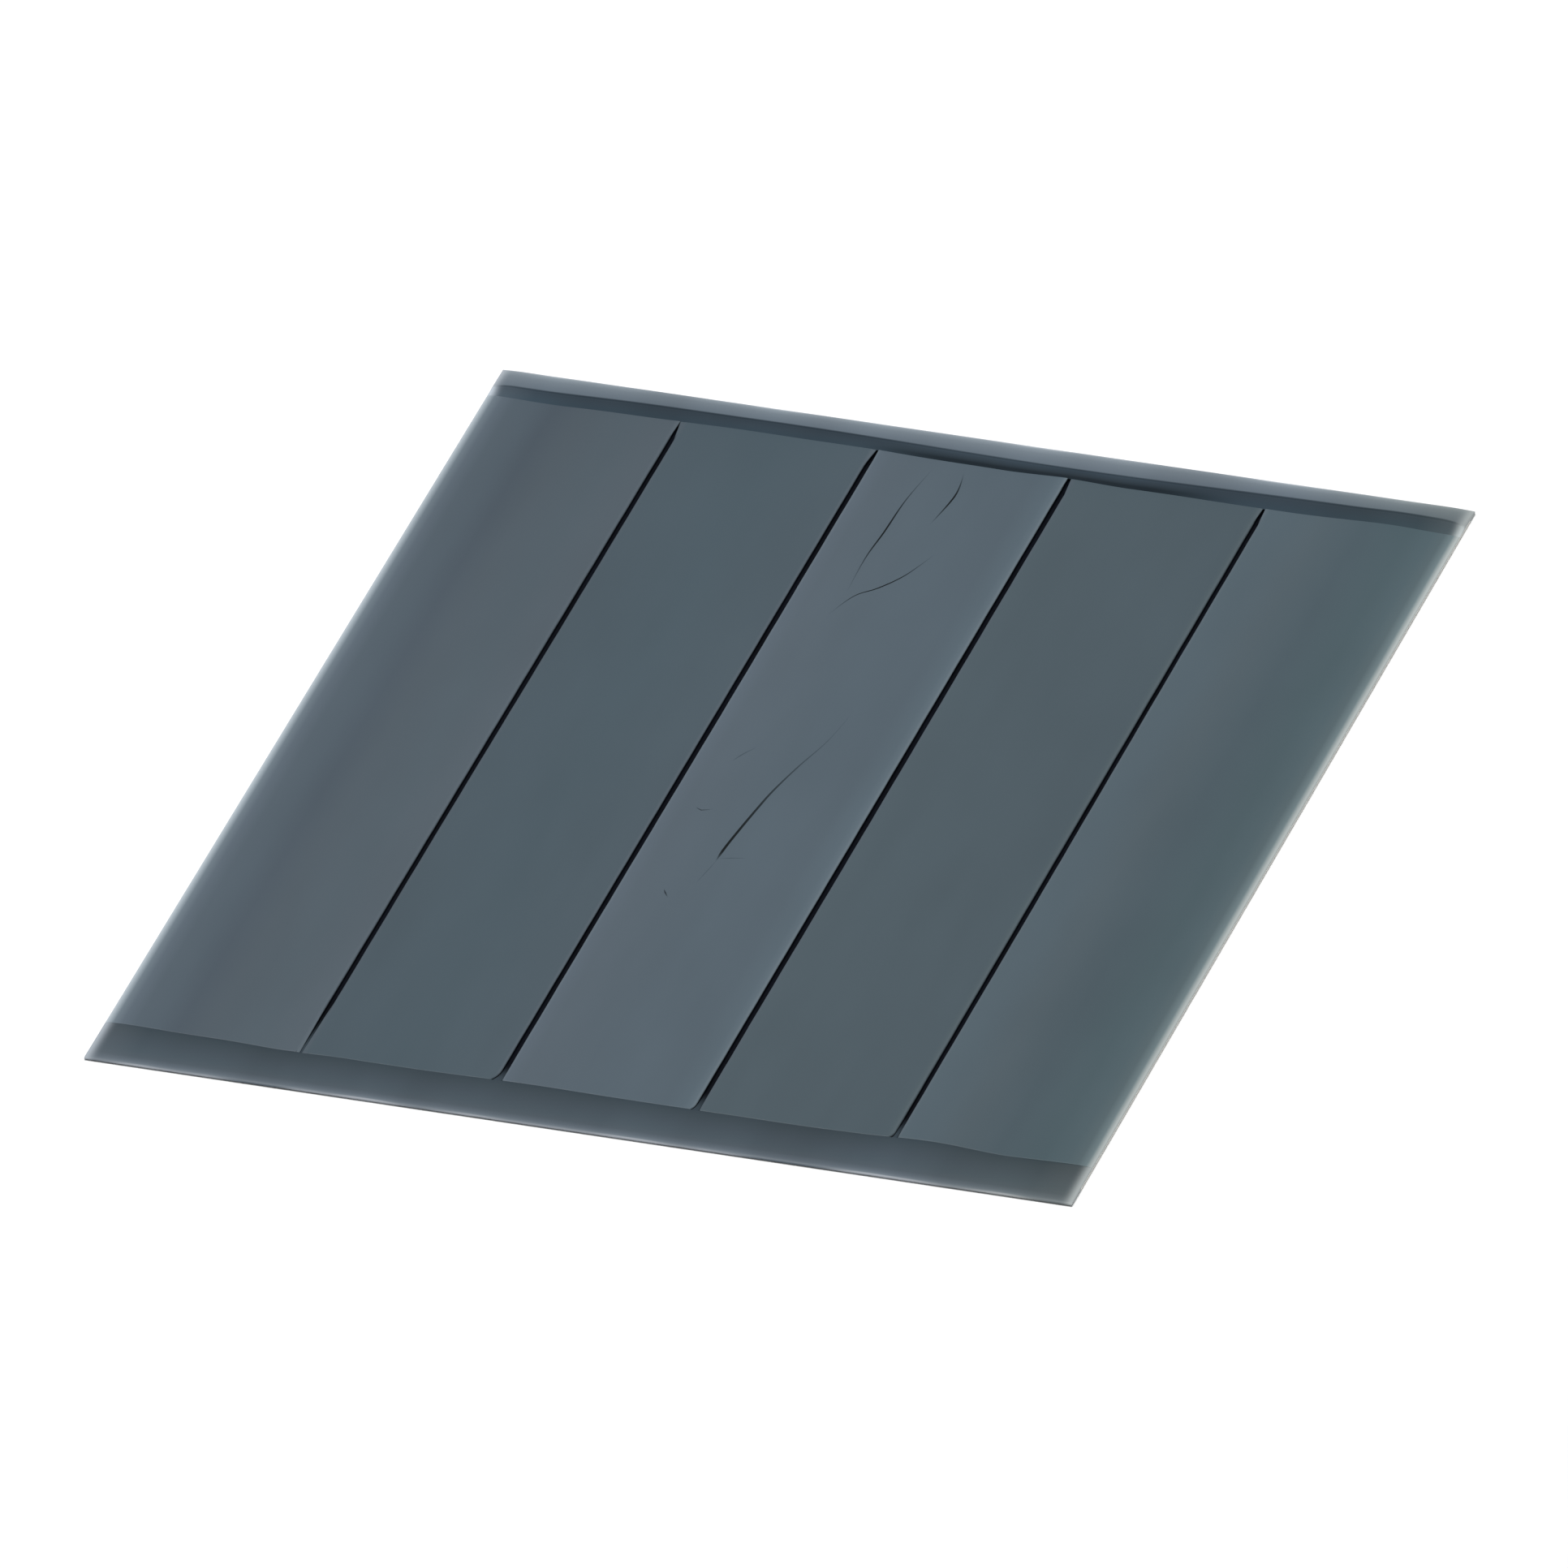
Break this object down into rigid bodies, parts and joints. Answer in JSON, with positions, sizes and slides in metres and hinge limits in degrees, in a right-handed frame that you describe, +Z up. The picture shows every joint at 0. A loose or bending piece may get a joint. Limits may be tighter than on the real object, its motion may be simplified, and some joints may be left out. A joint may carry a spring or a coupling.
{
  "type": "flexible solar sheet",
  "caption": "Thin flexible photovoltaic sheet of strips joined by folding seams, with a low front hem and a raised round back rail; lies flat or folds up into a roll.",
  "frame": {"origin": "middle of the underside, on the surface that the sheet lies on", "axes": "+X across the strips, +Y from the front hem to the back rail, +Z up through the lit face"},
  "size_m": [0.6, 0.85, 0.0056],
  "materials": {
    "front_film": "satin",
    "front_hem": "satin",
    "back_rail": "satin",
    "seam_hinge": "matte",
    "backsheet": "matte",
    "encapsulant": "satin",
    "cell": "satin",
    "tinned_copper": "satin"
  },
  "bodies": {
    "strip_1": {"backsheet_1": "backsheet", "encapsulant_1": "encapsulant", "cell_1": "cell", "bus_front_1": "tinned_copper", "bus_back_1": "tinned_copper", "front_film_1": "front_film", "front_hem_1": "front_hem", "back_rail_1": "back_rail", "terminal_pad_minus": "tinned_copper"},
    "strip_2": {"backsheet_2": "backsheet", "encapsulant_2": "encapsulant", "cell_2": "cell", "bus_front_2": "tinned_copper", "bus_back_2": "tinned_copper", "front_film_2": "front_film", "front_hem_2": "front_hem", "back_rail_2": "back_rail", "seam_hinge_1": "seam_hinge", "jumper_1": "tinned_copper"},
    "strip_3": {"backsheet_3": "backsheet", "encapsulant_3": "encapsulant", "cell_3": "cell", "bus_front_3": "tinned_copper", "bus_back_3": "tinned_copper", "front_film_3": "front_film", "front_hem_3": "front_hem", "back_rail_3": "back_rail", "seam_hinge_2": "seam_hinge", "jumper_2": "tinned_copper", "seam_hinge_3": "seam_hinge", "jumper_3": "tinned_copper"},
    "strip_4": {"backsheet_4": "backsheet", "encapsulant_4": "encapsulant", "cell_4": "cell", "bus_front_4": "tinned_copper", "bus_back_4": "tinned_copper", "front_film_4": "front_film", "front_hem_4": "front_hem", "back_rail_4": "back_rail", "seam_hinge_4": "seam_hinge", "jumper_4": "tinned_copper"},
    "strip_5": {"backsheet_5": "backsheet", "encapsulant_5": "encapsulant", "cell_5": "cell", "bus_front_5": "tinned_copper", "bus_back_5": "tinned_copper", "front_film_5": "front_film", "front_hem_5": "front_hem", "back_rail_5": "back_rail", "terminal_pad_plus": "tinned_copper"}
  },
  "joints": [
    {"name": "seam_2_fold", "type": "hinge", "parent": "strip_3", "child": "strip_2", "pos_m": [-0.06, 0, 0.0003], "axis": [0, 1, 0], "range_deg": [0, 70], "stiffness_Nm_per_rad": 0.05, "deforming": ["seam_hinge_2", "jumper_2"]},
    {"name": "seam_1_fold", "type": "hinge", "parent": "strip_2", "child": "strip_1", "pos_m": [-0.18, 0, 0.0003], "axis": [0, 1, 0], "range_deg": [0, 70], "stiffness_Nm_per_rad": 0.05, "deforming": ["seam_hinge_1", "jumper_1"]},
    {"name": "seam_3_fold", "type": "hinge", "parent": "strip_3", "child": "strip_4", "pos_m": [0.06, 0, 0.0003], "axis": [0, -1, 0], "range_deg": [0, 70], "stiffness_Nm_per_rad": 0.05, "deforming": ["seam_hinge_3", "jumper_3"]},
    {"name": "seam_4_fold", "type": "hinge", "parent": "strip_4", "child": "strip_5", "pos_m": [0.18, 0, 0.0003], "axis": [0, -1, 0], "range_deg": [0, 70], "stiffness_Nm_per_rad": 0.05, "deforming": ["seam_hinge_4", "jumper_4"]}
  ]
}
